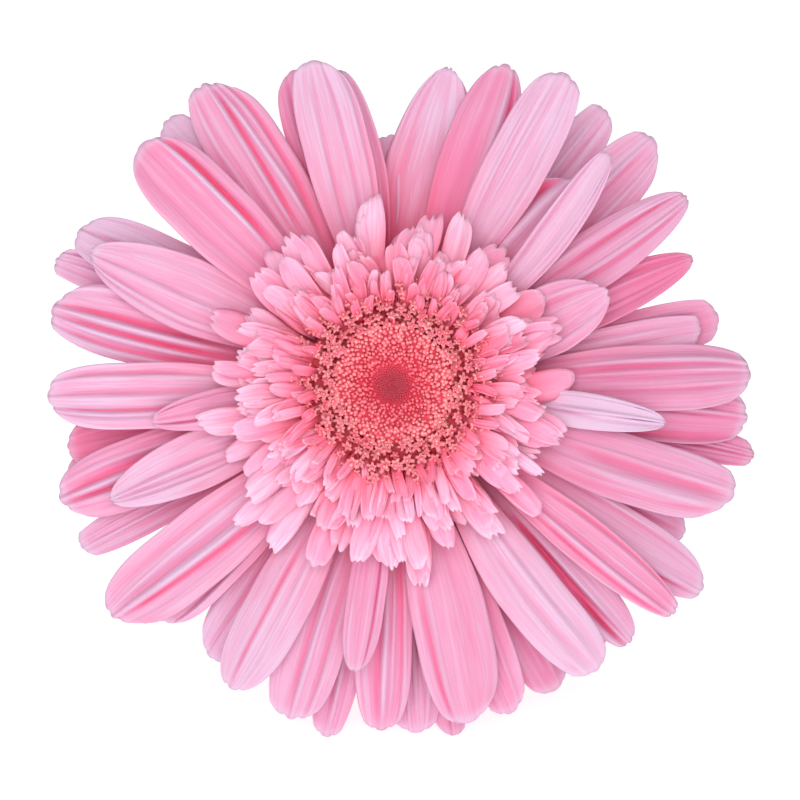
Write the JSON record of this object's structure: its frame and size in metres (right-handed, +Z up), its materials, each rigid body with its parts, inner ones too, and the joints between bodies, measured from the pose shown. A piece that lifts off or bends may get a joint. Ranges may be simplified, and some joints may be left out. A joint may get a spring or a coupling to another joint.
{
  "type": "cut gerbera",
  "caption": "Cut pink gerbera laid on a surface: layered ray florets, a coral eye of disc florets, a cup of green bracts and a bare stem.",
  "frame": {"origin": "middle of the flower's box on the surface that it lies on", "axes": "+Z up from that surface; the bloom faces -Y and leans back; the stem runs away behind it along +Y"},
  "size_m": [0.1132, 0.2786, 0.1053],
  "materials": {
    "back_ray": "satin",
    "bracts": "matte",
    "disc_centre": "matte",
    "disc_florets_budded": "satin",
    "disc_florets_open": "satin",
    "front_ray": "satin",
    "middle_ray": "satin",
    "rear_ray": "satin",
    "receptacle": "satin",
    "short_ray": "satin",
    "stem": "matte",
    "trans_florets_inner": "satin",
    "trans_florets_middle": "satin",
    "trans_florets_outer": "satin"
  },
  "bodies": {
    "root": {"back_ray_01": "back_ray", "back_ray_02": "back_ray", "back_ray_03": "back_ray", "back_ray_04": "back_ray", "back_ray_05": "back_ray", "back_ray_06": "back_ray", "back_ray_07": "back_ray", "back_ray_08": "back_ray", "back_ray_09": "back_ray", "back_ray_10": "back_ray", "back_ray_11": "back_ray", "back_ray_12": "back_ray", "back_ray_13": "back_ray", "disc_centre": "disc_centre", "disc_florets_budded": "disc_florets_budded", "disc_florets_open": "disc_florets_open", "front_ray_01": "front_ray", "front_ray_02": "front_ray", "front_ray_03": "front_ray", "front_ray_04": "front_ray", "front_ray_05": "front_ray", "front_ray_06": "front_ray", "front_ray_07": "front_ray", "front_ray_08": "front_ray", "front_ray_09": "front_ray", "front_ray_10": "front_ray", "front_ray_11": "front_ray", "front_ray_12": "front_ray", "front_ray_13": "front_ray", "front_ray_14": "front_ray", "involucre_inner": "bracts", "involucre_outer": "bracts", "middle_ray_01": "middle_ray", "middle_ray_02": "middle_ray", "middle_ray_03": "middle_ray", "middle_ray_04": "middle_ray", "middle_ray_05": "middle_ray", "middle_ray_06": "middle_ray", "middle_ray_07": "middle_ray", "middle_ray_08": "middle_ray", "middle_ray_09": "middle_ray", "middle_ray_10": "middle_ray", "middle_ray_11": "middle_ray", "middle_ray_12": "middle_ray", "middle_ray_13": "middle_ray", "middle_ray_14": "middle_ray", "middle_ray_15": "middle_ray", "rear_ray_01": "rear_ray", "rear_ray_02": "rear_ray", "rear_ray_03": "rear_ray", "receptacle": "receptacle", "short_ray_01": "short_ray", "short_ray_02": "short_ray", "short_ray_03": "short_ray", "short_ray_04": "short_ray", "short_ray_05": "short_ray", "stem": "stem", "trans_florets_inner": "trans_florets_inner", "trans_florets_middle": "trans_florets_middle", "trans_florets_outer": "trans_florets_outer"}
  },
  "joints": []
}
